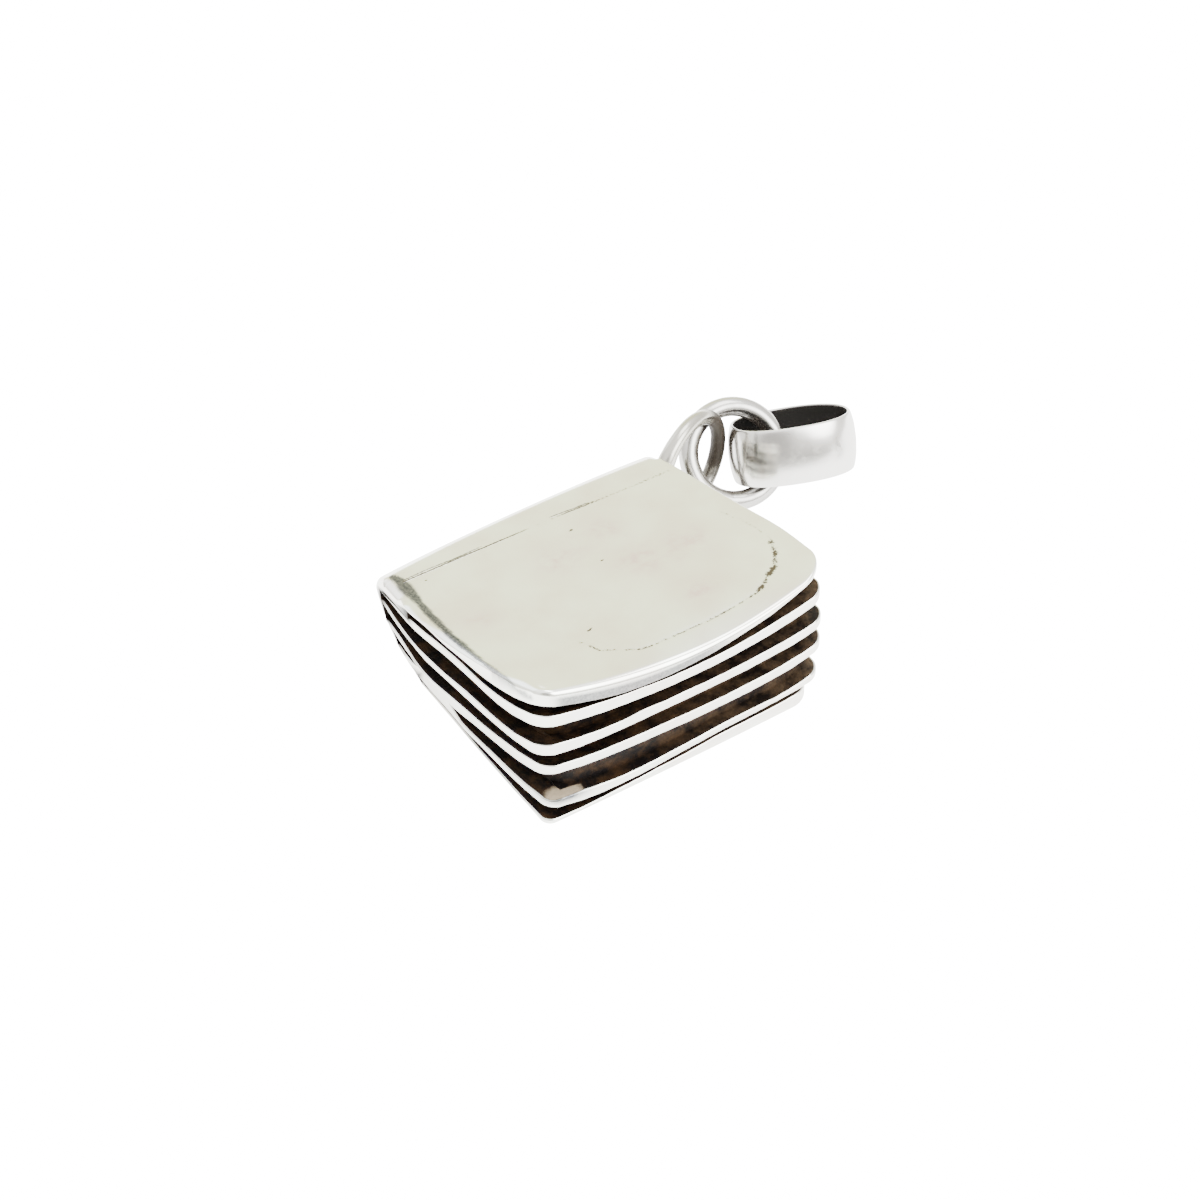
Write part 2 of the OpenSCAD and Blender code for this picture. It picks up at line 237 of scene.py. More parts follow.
def ripple(x, seed):
    """A smooth wandering value between about -1 and 1."""
    turns = np.random.default_rng(seed).uniform(0, 2 * math.pi, 5)
    return sum(np.sin(x * rate + turn) / weight for rate, turn, weight in
               zip((0.9, 2.3, 4.1, 7.7, 13.1), turns, (2.2, 2.6, 3.4, 5, 7)))


def line_gap(line, x, y):
    """Distance from points to a line, and how far along it the nearest spot lies."""
    best, along, gone = np.full(np.shape(x), 99.0), np.zeros(np.shape(x)), 0.0
    for (ax, ay), (bx, by) in zip(line, line[1:]):
        length = math.hypot(bx - ax, by - ay)
        t = np.clip(((x - ax) * (bx - ax) + (y - ay) * (by - ay)) / length ** 2, 0, 1)
        gap = np.hypot(x - mix(ax, bx, t), y - mix(ay, by, t))
        along = np.where(gap < best, gone + t * length, along)
        best = np.minimum(best, gap)
        gone += length
    return best, along


def cover_marks(x, y):
    """Dark fine marks, and the painted grey reflection along the tail edge, at points of the front cover."""
    # The line beside the spine, worn away half way up and broader near the head edge
    gap, along = line_gap(CREASE_LINE, x, y)
    seen = 1.1 - 0.8 * np.exp(-((along - 8.0) / 1.3) ** 2) + 0.15 * ripple(along * 2, 3)
    near_head = smooth(9.5, 12.5, along)
    width = 0.085 + 0.07 * near_head
    marks = np.clip(seen, 0, 1) * np.exp(-(gap / width) ** 2) * (1 - 0.45 * near_head)
    # Two stretches of a finer line just beside it
    crease_x = np.interp(y, [p[1] for p in CREASE_LINE], [p[0] for p in CREASE_LINE])
    beside = np.abs(x - crease_x + 0.15 + 0.03 * np.sin(y * 1.7))
    first = smooth(-8.1, -7.6, y) * (1 - smooth(-3.6, -2.6, y))
    second = smooth(0.6, 1.1, y) * (1 - smooth(2.9, 3.6, y))
    marks = np.maximum(marks, (first + second) * np.exp(-(beside / 0.06) ** 2))
    # The broad scuff near the far corner, and the fine lines that run on from it
    gap, along = line_gap(SCUFFED_ARC, x, y)
    gap = gap + 0.05 * ripple(along * 3, 5)
    scuffed = np.clip(0.86 + 0.4 * ripple(along * 5, 6), 0, 1)
    marks = np.maximum(marks, np.exp(-(gap / 0.2) ** 2) * scuffed)
    for line, deep in ((WORN_LINE, 0.85), (HEAD_LINE, 0.65)):
        gap, along = line_gap(line, x, y)
        broken = np.clip(0.85 + 0.4 * ripple(along * 3, 8), 0, 1)
        marks = np.maximum(marks, deep * np.exp(-(gap / 0.1) ** 2) * broken)
    for px, py, size in PITS:
        marks = np.maximum(marks, 1.2 * np.exp(-(np.hypot(x - px, (y - py) * 0.7) / size) ** 2))
    # A painted dark grey reflection along the tail edge, widest near the spine
    gap, along = line_gap(TAIL_STRIP, x, y)
    width = (0.20 + 0.13 * np.exp(-((along - 1.6) / 1.2) ** 2) - 0.08 * smooth(5, 11, along)
             + 0.03 * ripple(along * 2, 9))
    wear_and_painted_reflection = (1 - smooth(width * 0.7, width * 1.3, gap)) * (1 - 0.3 * smooth(7, 13, along))
    return marks, wear_and_painted_reflection


def cover_cloud(x, y):
    """How clouded the front cover's polish is at these points."""
    veil = sum(np.exp(-(np.hypot(x - px, y - py) / reach) ** 2) for px, py, reach in CLOUDS)
    return np.clip(veil, 0, 1)


def top_z(leaf, s):
    row = LEAVES[leaf]
    return mix(row[TOP_NEAR], row[TOP_FAR], s / BOOK_L)


def tip_z(leaf, underside, s):
    """Height of a leaf's top or underside at its fore-edge."""
    row = LEAVES[leaf]
    t = s / BOOK_L
    thick = mix(row[THICK_NEAR], row[THICK_FAR], smooth(0.2, 0.7, t) if leaf == 0 else t)
    return top_z(leaf, s) - row[SAG] * hump(t) - underside * thick


def face_z(face, x, s):
    """Height of a face that looks into a groove, before its edge is rounded."""
    leaf, underside = divmod(face, 2)
    groove = GROOVES[leaf if underside else leaf - 1]
    root_x = SPINE_X + groove[ROOT]
    end = slope_end(s) if leaf == 0 else tip_x(leaf, s)
    u = np.clip((x - root_x) / (end - root_x), 0, 1)
    z = mix(groove[ROOF] if underside else groove[FLOOR], tip_z(leaf, underside, s), u)
    # The waves die away along the book from the tail edge, and inwards from the fore-edge
    z = z + (1 - smooth(1.5, 6, s)) * np.interp(x, LIFT_X, np.array(TAIL_LIFT[face]) / 100)
    return z + smooth(0.4, 1, u) * np.interp(s, LIFT_S, np.array(FORE_LIFT[face]) / 100)


def floor_x(groove, s):
    """Where the block of pages behind a groove stands. Past its ends the groove reaches its root."""
    back = SPINE_X + GROOVES[groove][ROOT]
    front = FORE_X - FORE_GROOVE + GROOVE_SWELL * FORE_BOW * hump(s / BOOK_L)
    cut = np.maximum(corner_cut(np.maximum(0, s - TAIL_GROOVE), CORE_CORNER),
                     corner_cut(np.maximum(0, BOOK_L - s - HEAD_GROOVE), CORE_CORNER))
    return np.where((s < TAIL_GROOVE) | (BOOK_L - s < HEAD_GROOVE), back, front - cut)


def cover_z(x, s):
    """Height of the front cover's top, with its edge rounded most along the tail edge."""
    u = np.clip((x - CREASE_X) / (slope_end(s) - CREASE_X), 0, 1)
    z = mix(SPINE_H, top_z(0, s), u) - LEAVES[0][SAG] * hump(s / BOOK_L) * u ** 4
    fore = np.maximum(tip_line(0, s) - x, 0.0)
    at_tail = smooth(0, 3, fore) * (1 - smooth(6, 10, s))
    radius = mix(mix(COVER_EDGE, 0.27, smooth(5, 12, s)), 0.12, smooth(BOOK_L - 2.0, BOOK_L - 0.9, s))
    radius = mix(radius, TAIL_EDGE, at_tail)
    deep = mix(radius * (1 + mix(0.85, 0.25, smooth(3, 11, s))), TAIL_DROP, at_tail)
    # The rounding leaves some metal above the underside
    room = np.maximum(z - face_z(1, x, s) - LEAF_EDGE - 0.03, 0.12)
    room = mix(1.0, room, smooth(-6.5, -3.6, x))
    return z - np.minimum(deep, room) / radius * drop(edge_gap(0, x, s), radius)


def belly_z(x):
    """Height of the book's underside, which curves up towards the spine."""
    inside = np.sqrt(np.maximum(0, 1 - ((FLAT_X - np.minimum(x, FLAT_X)) / (FLAT_X - SPINE_X)) ** 2))
    return SPINE_MID_H * (1 - inside)


def bezier(p, q, r, u, t):
    return (1 - t) ** 3 * p + 3 * t * (1 - t) ** 2 * q + 3 * t * t * (1 - t) * r + t ** 3 * u


ARC_TOP, ARC_LOW = 16, 16


def spine_curve(full):
    """The spine's outside from the crease round to the belly; full is 1 where it bulges most."""
    points = []
    for m in range(1, ARC_TOP + ARC_LOW):
        if m <= ARC_TOP:
            t = m / ARC_TOP
            x = bezier(CREASE_X, CREASE_X - 0.85 - 0.35 * full, SPINE_X - 0.1 * full, SPINE_X, t)
            z = bezier(SPINE_H, SPINE_H - 0.26 - 0.09 * full, SPINE_MID_H + 1.15 + 0.5 * full, SPINE_MID_H, t)
        else:
            x = SPINE_X + (BELLY_X - SPINE_X) * ((m - ARC_TOP) / ARC_LOW) ** 2
            z = float(belly_z(x))
        points.append((x, z))
    return points


# ---------------------------------------------------------------- the book's columns of points
# A column is one spot of the section, with a point at every station from the tail to the head edge
FACE_STEPS = 26
COVER_INNER, COVER_SLOPE, NEAR_CREASE = -4.95, 128, -6.1


def column_at(leaf, x, z, s):
    x = np.broadcast_to(x, s.shape).astype(float)
    return np.stack([x, level_y(leaf, x, s / BOOK_L), z], 1)


def cover_columns(s):
    """The front cover's top, from its fore-edge to the crease, closer together at the crease line."""
    tip = tip_x(0, s)
    places = [tip - e for e in COVER_RIM]
    places += [mix(tip - COVER_RIM[-1], COVER_INNER, a) for a in np.linspace(0, 1, COVER_SLOPE + 1)[1:]]
    places += [*np.linspace(COVER_INNER, NEAR_CREASE, 47)[1:], *np.linspace(NEAR_CREASE, CREASE_X, 6)[1:]]
    return [column_at(0, x, cover_z(x, s), s) for x in places]


def spine_columns(s):
    """The spine's outside, from the crease to the belly, rounded over at both ends."""
    curve, bulged = spine_curve(0), spine_curve(1)
    whole = [(CREASE_X, SPINE_H)] + curve + [(BELLY_X, float(belly_z(BELLY_X)))]
    share = s / BOOK_L
    full = hump(share) ** 0.7
    columns = []
    for m, (x, z) in enumerate(curve):
        along = np.array(whole[m + 2]) - np.array(whole[m])
        inward = np.array([-along[1], along[0]]) / np.hypot(*along)
        sink = drop(np.minimum(s, BOOK_L - s), mix(TAIL_DROP, 0.15, min(1, (m + 1) / 14)))
        # On its way down the spine takes its length from each leaf in turn
        level = 5 * (m + 1) / (len(curve) + 1)
        low, part = int(level), level - int(level)
        px = mix(x, bulged[m][0], full) + inward[0] * sink
        pz = mix(z, bulged[m][1], full) + inward[1] * sink
        y = mix(level_y(low, px, share), level_y(min(5, low + 1), px, share), part)
        columns.append(np.stack([px, y, pz], 1))
    return columns


def back_columns(s):
    """The back cover's underside, from the belly to its fore-edge."""
    tip = tip_x(5, s)
    columns = []
    for k in range(FACE_STEPS, -1, -1):
        inner = (k - len(RIM) + 1) / (FACE_STEPS - len(RIM))
        x = tip - RIM[k] if k < len(RIM) else mix(tip - RIM[-1], BELLY_X, inner)
        columns.append(column_at(5, x, belly_z(x) + drop(edge_gap(5, x, s), 0.09), s))
    return columns


def face_column(face, k, s):
    """Column k of a face, counted inwards from the leaf's edge, and how oxidised it is."""
    leaf, underside = divmod(face, 2)
    tip = tip_x(leaf, s)
    end = floor_x(leaf if underside else leaf - 1, s)
    inner = (k - len(RIM) + 1) / (FACE_STEPS - len(RIM))
    x = tip - RIM[k] if k < len(RIM) else mix(tip - RIM[-1], end, inner ** 0.9)
    gap = edge_gap(leaf, x, s)
    uneven = 0.012 * ripple(s * 2.2, leaf)
    z = face_z(face, x, s) + (1 if underside else -1) * drop(gap, LEAF_EDGE) + uneven
    # Polishing has bared the metal a little way in from the edge
    polished = (0.055 + 0.03 * ripple(s * 3 + x * 2, 20 + face)
                + 0.05 * np.clip(ripple(s * 1.6 + x, 40 + face) - 0.45, 0, 1))
    deep = smooth(polished, polished + 0.07, gap) if k < FACE_STEPS - 1 else np.ones(len(s))
    return column_at(leaf, x, z, s), deep


def book_points():
    """The book's points at every station, its masks, and the chains of columns that its ends join."""
    s = stations()
    clean = np.zeros(len(s))
    columns = cover_columns(s)
    cover_count = len(columns)
    cloud = [cover_cloud(column[:, 0], column[:, 1]) for column in columns]
    marks, wear_and_painted_reflection = [], []
    for column in columns:
        dark, grey = cover_marks(column[:, 0], column[:, 1])
        column[:, 2] -= MARK_DEPTH * dark
        marks.append(dark)
        wear_and_painted_reflection.append(grey)
    for column in spine_columns(s):
        x, y, z = column.T
        # The painted grey reflection runs on over the top of the spine
        wear_and_painted_reflection.append(cover_marks(x, y)[1] * smooth(4.6, 5.0, z))
        columns.append(column)
    back_first = len(columns)
    columns += back_columns(s)
    recess = [clean] * len(columns)
    chains = {0: list(range(cover_count)), 11: list(range(back_first, len(columns)))[::-1]}
    arc = list(range(cover_count - 1, back_first + 1))
    for face in range(10, 0, -1):
        outwards = face % 2 == 1
        ids = list(range(len(columns), len(columns) + FACE_STEPS))
        for k in range(FACE_STEPS - 1, -1, -1) if outwards else range(FACE_STEPS):
            column, deep = face_column(face, k, s)
            columns.append(column)
            recess.append(deep)
        chains[face] = ids[::-1] if outwards else ids
    marks += [clean] * (len(columns) - len(marks))
    cloud += [clean] * (len(columns) - len(cloud))
    wear_and_painted_reflection += [clean] * (len(columns) - len(wear_and_painted_reflection))
    # A patch of bare metal on the lowest leaf's top, near its near corner, painted pale beige as a painted
    # reflection
    for i in chains[8]:
        x, y, z = columns[i].T
        wear_and_painted_reflection[i] = (np.exp(-((y + 6.9) / 1.2) ** 2) * smooth(6.3, 6.9, x)
                   * (1 - smooth(0.45, 0.75, edge_gap(4, x, s))))
    # The lower half of the cover's rim along the fore-edge is painted darker grey, a painted reflection
    painted_reflection_weight = 0.85 * smooth(0.3, 1.2, s) * (1 - smooth(8.5, 12, s))
    for i in chains[0][:4] + chains[1][:6]:
        wear_and_painted_reflection[i] = np.maximum(wear_and_painted_reflection[i], painted_reflection_weight * (0.5 if i == 3 else 1))
    masks = {"recess": recess, "cloud": cloud, "marks": marks, "wear_and_painted_reflection": wear_and_painted_reflection}
    return np.stack(columns, 1), {name: np.stack(mask, 1) for name, mask in masks.items()}, chains, arc


def zipper(first, second, key):
    """Triangles between two chains of points that run the same way."""
    faces, i, j = [], 0, 0
    while i < len(first) - 1 or j < len(second) - 1:
        if j == len(second) - 1 or (i < len(first) - 1 and key(first[i + 1]) >= key(second[j + 1])):
            faces.append((first[i], first[i + 1], second[j]))
            i += 1
        else:
            faces.append((first[i], second[j + 1], second[j]))
            j += 1
    return faces


def make_book():
    """One cast body: a sheet of squares rolled round the comb-shaped section and closed at the ends."""
    points, masks, chains, arc = book_points()
    rows, around = points.shape[:2]
    bpy.ops.mesh.primitive_grid_add(x_subdivisions=around, y_subdivisions=rows - 1, size=1)
    book = bpy.context.object
    book.name = "cast_book"
    # The sheet's last column lies on its first, and the two are merged below
    wrapped = np.concatenate([points, points[:, :1]], 1) * MM
    book.data.vertices.foreach_set("co", wrapped.reshape(-1))
    for name, values in masks.items():
        mask = book.data.attributes.new(name, "FLOAT", "POINT")
        mask.data.foreach_set("value", np.concatenate([values, values[:, :1]], 1).reshape(-1))
    mesh = bmesh.new()
    mesh.from_mesh(book.data)
    mesh.verts.ensure_lookup_table()
    for row in (0, rows - 1):
        flat = points[row]
        caps = []
        for leaf in range(6):
            caps += zipper(chains[2 * leaf], chains[2 * leaf + 1], lambda i: flat[i][0])
        roots = [chains[j][-1] for j in range(1, 11)]
        caps += zipper(arc, roots, lambda i: flat[i][2])
        for face in caps:
            ids = [row * (around + 1) + i for i in face]
            if len(set(ids)) == 3:
                mesh.faces.new([mesh.verts[i] for i in ids])
    bmesh.ops.remove_doubles(mesh, verts=mesh.verts, dist=1e-7)
    bmesh.ops.recalc_face_normals(mesh, faces=mesh.faces)
    mesh.to_mesh(book.data)
    mesh.free()
    bpy.ops.object.shade_smooth_by_angle(angle=math.radians(42))
    return book


book = make_book()
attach(book, "root")
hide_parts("book")


# ---------------------------------------------------------------- loop, jump ring and bail
def turned(piece, tilt, heading, place, spin=0):
    """Turns a piece about its own middle as the rings lie, and puts it in its place."""
    turn = (Matrix.Translation(Vector(place) * MM) @ Matrix.Rotation(math.radians(heading), 4, "Z")
            @ Matrix.Rotation(math.radians(tilt), 4, "Y") @ Matrix.Rotation(math.radians(spin), 4, "Z"))
    piece.data.transform(turn)
    return piece


RING_STEPS, WIRE_STEPS = 160, 40


def wire_ring(name, across, wire, tarnish_and_shade, solder=0.0, shaded_side=None):
    """A closed ring of round wire, tarnished and darkened with painted shade on the side within.

    The solder thickens it towards -Y. The shaded side is the turn at which the wire is painted dark
    all round, as painted shade, in degrees.
    """
    bpy.ops.mesh.primitive_torus_add(major_radius=across / 2 * MM, minor_radius=wire / 2 * MM,
                                     major_segments=RING_STEPS, minor_segments=WIRE_STEPS)
    ring = bpy.context.object
    ring.name = name
    shade = []
    for vertex in ring.data.vertices:
        x, y, z = vertex.co
        turn = math.atan2(y, x)
        middle = Vector((math.cos(turn), math.sin(turn), 0)) * across / 2 * MM
        # The wire is thicker where the solder has run, and never quite even
        more = 1 + solder * max(0, -math.sin(turn) * 1.25 - 0.25) ** 2 / wire
        out = (vertex.co - middle) / (wire / 2 * MM)
        uneven = 1 + 0.012 * float(ripple(turn * 3 + out.z * 2, 11))
        vertex.co = middle + out * wire / 2 * MM * more * uneven
        # Tarnish stays where no cloth reaches it, and painted shade darkens the same inner side
        inward = -(out.x * math.cos(turn) + out.y * math.sin(turn))
        dark = tarnish_and_shade * float(smooth(0.35, 1.0, inward + 0.25 * float(ripple(turn * 4, 12))))
        # Painted shade: one side of the ring is darkened all round
        if shaded_side is not None:
            toward = math.cos(turn - math.radians(shaded_side)) + 0.06 * float(ripple(turn * 5, 13))
            dark = max(dark, float(smooth(0.45, 0.8, toward)))
        shade.append(dark)
    mask = ring.data.attributes.new("recess", "FLOAT", "POINT")
    mask.data.foreach_set("value", shade)
    bpy.ops.object.shade_smooth()
    return ring


loop = turned(wire_ring("soldered_loop", 5.6, 0.8, 0.8, solder=0.35, shaded_side=95),
              88, 22, (-7.07, 10.6, 3.2))
jump_ring = turned(wire_ring("closed_jump_ring", 5.05, 1.05, 0.85), 46.5, -10, (-7.3, 13.65, 2.38))

BAIL_L, BAIL_D, BAIL_W, BAIL_WALL, BAIL_DOME = 7.0, 4.4, 3.15, 0.2, 0.2
BAIL_STEPS, BAND_STEPS = 180, 48
# Dark brown reflections painted on the band: degrees round it, share of its half width, reach along
# and across it, and how brown
BAIL_PAINTED_REFLECTIONS = [(70, -0.22, 1.0, 0.26, 0.75), (47, 0.45, 0.14, 0.8, 0.95), (123, 0.14, 0.42, 0.38, 1.0),
               (96, 0.10, 1.5, 0.45, 0.5), (52, -0.1, 0.3, 0.5, 0.55)]
ROUND_BAND = 3.3  # millimetres along the band for each radian round it


def make_bail():
    """An oval band with a domed outside, a flat inside and rounded lips."""
    bpy.ops.mesh.primitive_torus_add(major_radius=1, minor_radius=0.3, major_segments=BAIL_STEPS,
                                     minor_segments=BAND_STEPS)
    bail = bpy.context.object
    bail.name = "domed_bail"
    half, thick = BAIL_W / 2, BAIL_WALL / 2
    inner, painted_reflection_values = [], []
    for vertex in bail.data.vertices:
        a, b = divmod(vertex.index, BAND_STEPS)
        turn, roll = 2 * math.pi * a / BAIL_STEPS, 2 * math.pi * b / BAND_STEPS
        # A rounded oblong section: outwards is cos(roll) > 0
        out = math.copysign(abs(math.cos(roll)) ** 0.28, math.cos(roll))
        up = math.copysign(abs(math.sin(roll)) ** 0.36, math.sin(roll))
        crown = BAIL_DOME * (1 - up * up)
        if out > 0:
            inset = BAIL_DOME - crown + thick * (1 - out)
        else:
            inset = BAIL_DOME + thick * (1 - out) - crown * (1 + out)
        c, s = math.cos(turn), math.sin(turn)
        vertex.co = (
            (BAIL_L / 2 - inset) * math.copysign(abs(c) ** 0.9, c) * MM,
            (BAIL_D / 2 - inset) * math.copysign(abs(s) ** 0.9, s) * MM,
            half * up * MM)
        # The inside of the band is painted near black: tarnished, and painted shade
        inner.append(float(smooth(-0.55, -0.9, np.float64(out))) if out < 0 else 0.0)
        # Painted reflections: soft dark patches at the places the table gives
        painted_reflection_values.append(max(
            brown * math.exp(-((turn - math.radians(place)) * ROUND_BAND / along) ** 2
                             - ((up - height) * half / across) ** 2)
            for place, height, along, across, brown in BAIL_PAINTED_REFLECTIONS))
    for name, values in (("recess", inner), ("painted_reflection_mask", painted_reflection_values)):
        bail.data.attributes.new(name, "FLOAT", "POINT").data.foreach_set("value", values)
    bpy.ops.object.shade_smooth_by_angle(angle=math.radians(50))
    return bail


bail = turned(make_bail(), 26.2, 158.8, (-6.1, 16.65, 2.37), 93.3)

for piece, node, slot in ((loop, "book", "cast_silver"), (jump_ring, "jump_ring", "ring_silver"),
                          (bail, "bail", "bail_silver")):
    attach(piece, "root")
    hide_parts(node)


# ---------------------------------------------------------------- materials
def tone(hex_code):
    """An sRGB hex value as a linear colour."""
    parts = [int(hex_code[i:i + 2], 16) / 255 for i in (1, 3, 5)]
    return [p / 12.92 if p <= 0.04045 else ((p + 0.055) / 1.055) ** 2.4 for p in parts] + [1.0]


def add(tree, kind, inputs=None, **settings):
    """Adds a node with its settings; an input is a value or another node's socket."""
    new = tree.nodes.new(kind)
    for name, value in settings.items():
        setattr(new, name, value)
    for key, value in (inputs or {}).items():
        socket = new.inputs[key]
        if isinstance(value, bpy.types.NodeSocket):
            tree.links.new(value, socket)
        else:
            socket.default_value = value
    return new


def new_material(name):
    material = bpy.data.materials.new(name)
    material.use_nodes = True
    material.node_tree.nodes.clear()
    return material, material.node_tree


def finish_material(tree, shader):
    out = add(tree, "ShaderNodeOutputMaterial")
    tree.links.new(shader.outputs[0], out.inputs["Surface"])


def per_mm(size):
    """Scale of a noise whose features are this many millimetres across."""
    return 1 / (size * MM)


def cast_silver():
    """Polished sterling with oxidised grooves: pale mirror outside, matt brown-black inside."""
    material, tree = new_material("polished_sterling_oxidised_grooves")
    where = add(tree, "ShaderNodeTexCoord").outputs["Object"]
    # The polish: slightly warmer and duller in hazy patches, with pinkish wisps in the clouds
    haze = add(tree, "ShaderNodeTexNoise", {
        "Vector": where, "Scale": per_mm(3.2), "Detail": 4.0, "Roughness": 0.6}).outputs["Fac"]
    patina = add(tree, "ShaderNodeValToRGB", {"Fac": haze})
    cloud = add(tree, "ShaderNodeAttribute", attribute_name="cloud").outputs["Fac"]
    wisp = add(tree, "ShaderNodeTexNoise", {
        "Vector": where, "Scale": per_mm(0.8), "Detail": 5.0, "Roughness": 0.65}).outputs["Fac"]
    torn = add(tree, "ShaderNodeMapRange", {"Value": wisp, "From Min": 0.35, "From Max": 0.65})
    veiled = add(tree, "ShaderNodeMath", {0: cloud, 1: torn.outputs["Result"]}, operation="MULTIPLY")
    polish = add(tree, "ShaderNodeMix", {
        0: veiled.outputs[0], 6: patina.outputs["Color"], 7: tone("#E1CAD0")}, data_type="RGBA")
    rough = add(tree, "ShaderNodeMapRange", {
        "Value": haze, "From Min": 0.3, "From Max": 0.7, "To Min": 0.16, "To Max": 0.10})
    # Polishing by hand leaves the faces faintly wavy
    waves = add(tree, "ShaderNodeTexNoise", {"Vector": where, "Scale": per_mm(2.0), "Detail": 2.0})
    bump = add(tree, "ShaderNodeBump", {
        "Height": waves.outputs["Fac"], "Strength": 0.25, "Distance": 0.02 * MM})
    # Scratches, and painted dark grey reflections. The speckle is coarser than the real one, so that it shows
    fine = add(tree, "ShaderNodeTexNoise", {
        "Vector": where, "Scale": per_mm(0.13), "Detail": 3.0}).outputs["Fac"]
    marks = add(tree, "ShaderNodeAttribute", attribute_name="marks").outputs["Fac"]
    speckled = add(tree, "ShaderNodeMath", {0: fine, 1: 1.3, 2: marks}, operation="MULTIPLY_ADD")
    scratched = add(tree, "ShaderNodeMapRange", {
        "Value": speckled.outputs[0], "From Min": 1.1, "From Max": 1.45})
    wear_and_painted_reflection = add(tree, "ShaderNodeAttribute", attribute_name="wear_and_painted_reflection").outputs["Fac"]
    streak = add(tree, "ShaderNodeMapRange", {
        "Value": fine, "From Min": 0.3, "From Max": 0.7, "To Min": 0.85})
    greyed = add(tree, "ShaderNodeMath", {0: wear_and_painted_reflection, 1: streak.outputs["Result"]}, operation="MULTIPLY")
    # Painted dark grey reflection, mixed over the polish where the mask is set
    polish_with_painted_grey = add(tree, "ShaderNodeMix", {
        0: greyed.outputs[0], 6: polish.outputs[2], 7: tone("#31343D")}, data_type="RGBA")
    skin = add(tree, "ShaderNodeMix", {
        0: scratched.outputs["Result"], 6: polish_with_painted_grey.outputs[2], 7: tone("#544C43")}, data_type="RGBA")
    silver = add(tree, "ShaderNodeBsdfPrincipled", {
        "Base Color": skin.outputs[2], "Metallic": 1.0, "Roughness": rough.outputs["Result"],
        "Normal": bump.outputs["Normal"]})
    # The oxide: nearly black near the tail edge, browner towards the head edge, and bare metal in one patch,
    # painted pale beige there as a painted reflection
    soot = add(tree, "ShaderNodeTexNoise", {
        "Vector": where, "Scale": per_mm(0.9), "Detail": 6.0, "Roughness": 0.65}).outputs["Fac"]
    brown = add(tree, "ShaderNodeValToRGB", {"Fac": soot})
    # A paler brown, mixed in towards the head edge
    head_brown = add(tree, "ShaderNodeValToRGB", {"Fac": soot})
    along = add(tree, "ShaderNodeSeparateXYZ", {0: where}).outputs["Y"]
    far = add(tree, "ShaderNodeMapRange", {"Value": along, "From Min": -5 * MM, "From Max": 8 * MM},
              interpolation_type="SMOOTHSTEP")
    tint = add(tree, "ShaderNodeMix", {
        0: far.outputs["Result"], 6: brown.outputs["Color"], 7: head_brown.outputs["Color"]}, data_type="RGBA")
    blotch = add(tree, "ShaderNodeMath", {0: soot, 1: 0.6, 2: wear_and_painted_reflection}, operation="MULTIPLY_ADD")
    bared_and_painted_light = add(tree, "ShaderNodeMapRange", {"Value": blotch.outputs[0], "From Min": 0.75, "From Max": 1.0})
    # Pale beige painted reflection on the patch of bare metal
    tint = add(tree, "ShaderNodeMix", {
        0: bared_and_painted_light.outputs["Result"], 6: tint.outputs[2], 7: tone("#A6977F")}, data_type="RGBA")
    # The skin of the casting, coarser than the real one, so that it shows
    grain = add(tree, "ShaderNodeTexNoise", {"Vector": where, "Scale": per_mm(0.18), "Detail": 4.0})
    pitted = add(tree, "ShaderNodeBump", {
        "Height": grain.outputs["Fac"], "Strength": 0.6, "Distance": 0.05 * MM})
    oxide = add(tree, "ShaderNodeBsdfPrincipled", {
        "Base Color": tint.outputs[2], "Roughness": 0.62, "Specular IOR Level": 0.15,
        "Normal": pitted.outputs["Normal"]})
    for ramp, ends in ((patina, ((0.35, "#EDE8DF"), (0.62, "#F7FAF0"))),
                       (brown, ((0.42, "#080403"), (0.78, "#3A2816"))),
                       (head_brown, ((0.40, "#120B07"), (0.68, "#4E3F2E")))):
        for element, (position, shade) in zip(ramp.color_ramp.elements, ends):
            element.position, element.color = position, tone(shade)
    deep = add(tree, "ShaderNodeAttribute", attribute_name="recess")
    shader = add(tree, "ShaderNodeMixShader", {
        0: deep.outputs["Fac"], 1: silver.outputs[0], 2: oxide.outputs[0]})
    finish_material(tree, shader)
    return material


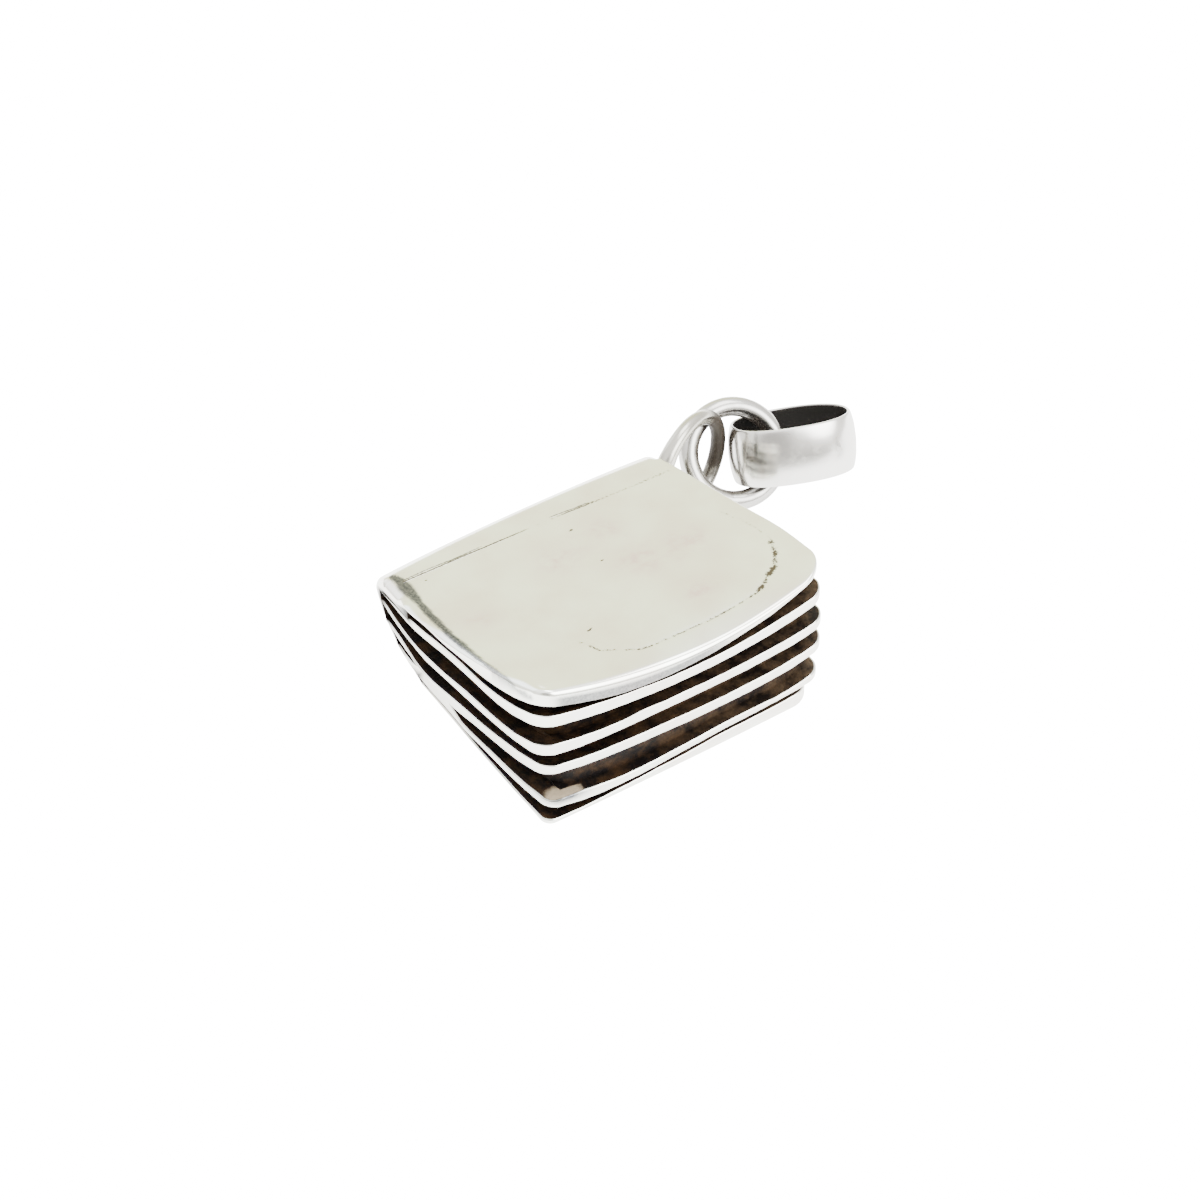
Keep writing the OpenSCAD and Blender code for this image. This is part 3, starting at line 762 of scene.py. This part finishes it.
def bright_silver(name, base, roughness, tarnish_and_shade, painted_reflection_tone=None):
    """Tumbled bright silver: a soft mirror with fine handling marks, tarnished and painted with shade within.

    A piece with a painted reflection mask also has mottled dark brown painted reflections there.
    """
    material, tree = new_material(name)
    where = add(tree, "ShaderNodeTexCoord").outputs["Object"]
    marks = add(tree, "ShaderNodeTexNoise", {"Vector": where, "Scale": per_mm(0.7), "Detail": 3.0})
    bump = add(tree, "ShaderNodeBump", {
        "Height": marks.outputs["Fac"], "Strength": 0.3, "Distance": 0.02 * MM})
    skin = tone(base)
    # Mottled dark brown painted reflections where the mask is set
    if painted_reflection_tone:
        painted_reflection_mask = add(tree, "ShaderNodeAttribute", attribute_name="painted_reflection_mask").outputs["Fac"]
        mottle = add(tree, "ShaderNodeTexNoise", {"Vector": where, "Scale": per_mm(0.45), "Detail": 3.0})
        patchy = add(tree, "ShaderNodeMapRange", {
            "Value": mottle.outputs["Fac"], "From Min": 0.35, "From Max": 0.52, "To Min": 0.5})
        painted_reflection_weight = add(tree, "ShaderNodeMath", {0: painted_reflection_mask, 1: patchy.outputs["Result"]}, operation="MULTIPLY")
        skin = add(tree, "ShaderNodeMix", {
            0: painted_reflection_weight.outputs[0], 6: skin, 7: tone(painted_reflection_tone)}, data_type="RGBA").outputs[2]
    silver = add(tree, "ShaderNodeBsdfPrincipled", {
        "Base Color": skin, "Metallic": 1.0, "Roughness": roughness, "Normal": bump.outputs["Normal"]})
    dark = add(tree, "ShaderNodeBsdfPrincipled", {
        "Base Color": tone(tarnish_and_shade), "Metallic": 0.15, "Roughness": 0.5, "Specular IOR Level": 0.2})
    deep = add(tree, "ShaderNodeAttribute", attribute_name="recess")
    shader = add(tree, "ShaderNodeMixShader", {
        0: deep.outputs["Fac"], 1: silver.outputs[0], 2: dark.outputs[0]})
    finish_material(tree, shader)
    return material


def paint(piece, material):
    piece.data.materials.clear()
    piece.data.materials.append(material)


paint(book, cast_silver())
paint(loop, bright_silver("soldered_silver_wire", "#B6B3A9", 0.22, "#352F28"))
paint(jump_ring, bright_silver("drawn_silver_wire", "#BBB9B4", 0.22, "#3A332C"))
paint(bail, bright_silver("polished_silver_band", "#DEDCD7", 0.2, "#14110E", "#1A1510"))


# ---------------------------------------------------------------- studio
def floor():
    bpy.ops.mesh.primitive_plane_add(size=1.6, location=(0, 0, -0.01 * MM))
    table = bpy.context.object
    table.name = "table_top"
    material, tree = new_material("white_acrylic_sheet")
    # Lit from below: the lens sees it almost burnt out, the silver a gentler white
    lens = add(tree, "ShaderNodeLightPath").outputs["Is Camera Ray"]
    glow = add(tree, "ShaderNodeMapRange", {"Value": lens, "To Min": 2.6, "To Max": 16.0})
    sheet = add(tree, "ShaderNodeBsdfPrincipled", {
        "Base Color": tone("#F6F6F6"), "Roughness": 0.7, "Specular IOR Level": 0.2,
        "Emission Color": tone("#FFFFFF"), "Emission Strength": glow.outputs["Result"]})
    finish_material(tree, sheet)
    paint(table, material)


def direction(azimuth, elevation):
    a, e = math.radians(azimuth), math.radians(elevation)
    return (math.cos(e) * math.cos(a), math.cos(e) * math.sin(a), math.sin(e))


# Soft patches of light and shade in the room: azimuth, elevation, inner and outer reach in degrees,
# and their light: a cream wall behind, a pale window on the left, a bright lamp and a greyer corner
ROOM_PATCHES = [
    (156, 17, 12, 40, (0.96, 0.97, 0.68, 1)),
    (194, 26, 8, 24, (1.5, 1.56, 1.64, 1)),
    (28, 34, 9, 26, (4.5, 4.5, 4.5, 1)),
    (-35, 25, 10, 34, (0.34, 0.33, 0.32, 1)),
]


def room():
    """The studio round the pendant: greyish walls, a bright ceiling and the patches above."""
    world = bpy.data.worlds.new("studio")
    bpy.context.scene.world = world
    world.use_nodes = True
    tree = world.node_tree
    tree.nodes.clear()
    look = add(tree, "ShaderNodeTexCoord").outputs["Generated"]
    height = add(tree, "ShaderNodeSeparateXYZ", {0: look}).outputs["Z"]
    lift = add(tree, "ShaderNodeMapRange", {"Value": height, "From Min": 0.35, "From Max": 0.8},
               interpolation_type="SMOOTHSTEP")
    colour = add(tree, "ShaderNodeMix", {
        0: lift.outputs["Result"], 6: (0.80, 0.79, 0.76, 1), 7: (1.1, 1.1, 1.1, 1)},
                 data_type="RGBA").outputs[2]
    for azimuth, elevation, inner, outer, shade in ROOM_PATCHES:
        toward = add(tree, "ShaderNodeVectorMath", {0: look, 1: direction(azimuth, elevation)},
                     operation="DOT_PRODUCT")
        spot = add(tree, "ShaderNodeMapRange", {
            "Value": toward.outputs["Value"], "From Min": math.cos(math.radians(outer)),
            "From Max": math.cos(math.radians(inner))}, interpolation_type="SMOOTHSTEP")
        colour = add(tree, "ShaderNodeMix", {0: spot.outputs["Result"], 6: colour, 7: shade},
                     data_type="RGBA").outputs[2]
    back = add(tree, "ShaderNodeBackground", {"Color": colour, "Strength": 2.8})
    out = add(tree, "ShaderNodeOutputWorld")
    tree.links.new(back.outputs[0], out.inputs["Surface"])


def softbox(name, azimuth, elevation, distance, size, power):
    lamp = bpy.data.lights.new(name, "AREA")
    lamp.shape = "RECTANGLE"
    lamp.size, lamp.size_y = size, size * 0.7
    lamp.energy = power
    box = bpy.data.objects.new(name, lamp)
    bpy.context.collection.objects.link(box)
    place = Vector(direction(azimuth, elevation)) * distance
    box.matrix_world = Matrix.Translation(place) @ place.to_track_quat("Z", "Y").to_matrix().to_4x4()


floor()
room()
softbox("overhead_softbox", 100, 70, 0.6, 0.35, 2.0)
